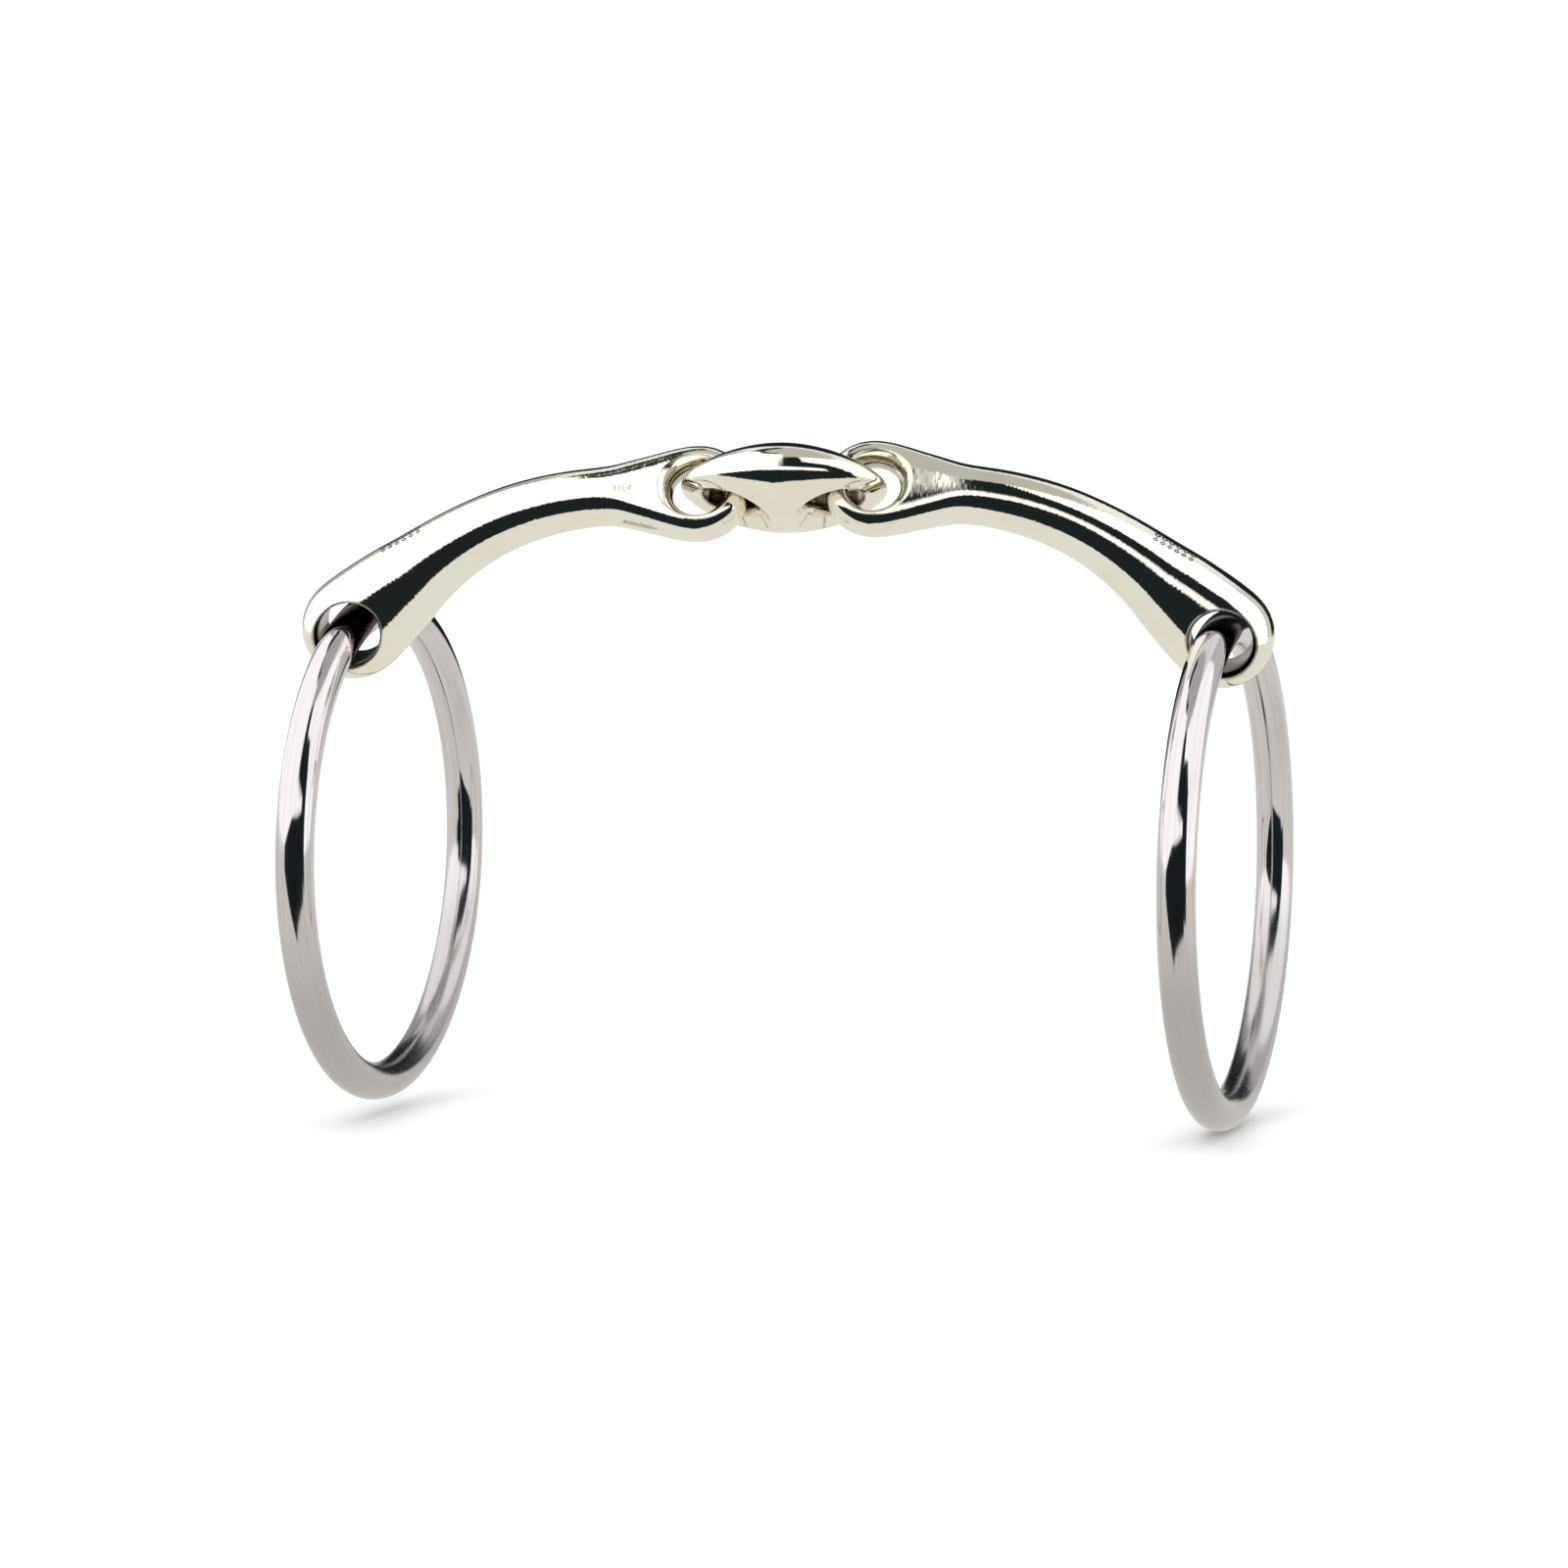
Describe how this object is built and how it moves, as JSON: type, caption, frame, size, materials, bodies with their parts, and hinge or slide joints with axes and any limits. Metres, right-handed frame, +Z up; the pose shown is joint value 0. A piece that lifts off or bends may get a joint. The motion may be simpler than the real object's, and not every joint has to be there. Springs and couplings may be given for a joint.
{
  "type": "snaffle bit",
  "caption": "Loose-ring snaffle bit: curved arms linked through a centre lozenge, with a round-wire ring running free in each arm's end.",
  "frame": {"origin": "centre of the centre link, on the mouthpiece's middle plane", "axes": "+X along the mouthpiece towards the right ring, +Y towards the back, +Z up, with the rings hanging down"},
  "size_m": [0.1424, 0.0799, 0.0989],
  "materials": {
    "mouthpiece_alloy": "mirror-polished pale champagne copper-nickel-zinc alloy",
    "ring_steel": "polished stainless round wire, lightly worn"
  },
  "bodies": {
    "centre_link": {"centre_link": "mouthpiece_alloy"},
    "left_arm": {"left_arm": "mouthpiece_alloy"},
    "right_arm": {"right_arm": "mouthpiece_alloy"},
    "left_ring": {"left_ring": "ring_steel"},
    "right_ring": {"right_ring": "ring_steel"}
  },
  "joints": [
    {"name": "left_arm_fold", "type": "hinge", "parent": "centre_link", "child": "left_arm", "pos_m": [-0.0069, 0, -0.0009], "axis": [0, 0, 1], "range_deg": [-20, 25]},
    {"name": "right_arm_fold", "type": "hinge", "parent": "centre_link", "child": "right_arm", "pos_m": [0.0076, 0, -0.0001], "axis": [0, 0, 1], "range_deg": [-40, 40]},
    {"name": "left_ring_swing", "type": "hinge", "parent": "left_arm", "child": "left_ring", "pos_m": [-0.06247, 0, -0.02024], "axis": [0, 0.9848, 0.1736], "range_deg": [-50, 100]},
    {"name": "right_ring_swing", "type": "hinge", "parent": "right_arm", "child": "right_ring", "pos_m": [0.06265, 0, -0.02075], "axis": [0, 0.9848, 0.1736], "range_deg": [-100, 50]}
  ]
}
